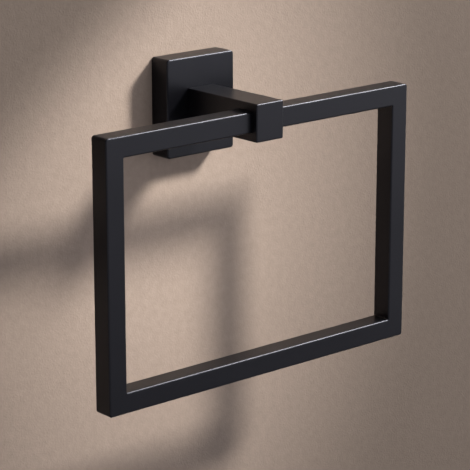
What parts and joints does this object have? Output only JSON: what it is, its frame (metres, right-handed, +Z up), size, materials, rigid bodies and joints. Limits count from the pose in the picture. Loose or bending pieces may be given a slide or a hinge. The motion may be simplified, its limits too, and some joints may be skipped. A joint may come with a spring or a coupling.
{
  "type": "towel ring",
  "caption": "Rectangular towel ring of square black bar held through a square post on a hollow wall plate, with a hidden bracket that screws to the wall.",
  "frame": {"origin": "centre of the wall plate's back, on the wall, and centre of the bracket's two slots", "axes": "+X along the wall, +Y into the wall, +Z up; the post and ring stand out along -Y"},
  "size_m": [0.225, 0.074, 0.179],
  "materials": {
    "black_coat": "matte black powder coat",
    "zinc_plate": "zinc plated steel",
    "black_oxide": "black oxide steel"
  },
  "bodies": {
    "root": {"wall_plate": "black_coat", "post": "black_coat", "ring": "black_coat", "mounting_bracket": "zinc_plate", "post_screw": "zinc_plate", "plain_washer": "zinc_plate", "spring_washer": "zinc_plate", "plate_set_screw": "black_oxide", "ring_set_screw": "black_oxide"}
  },
  "joints": []
}
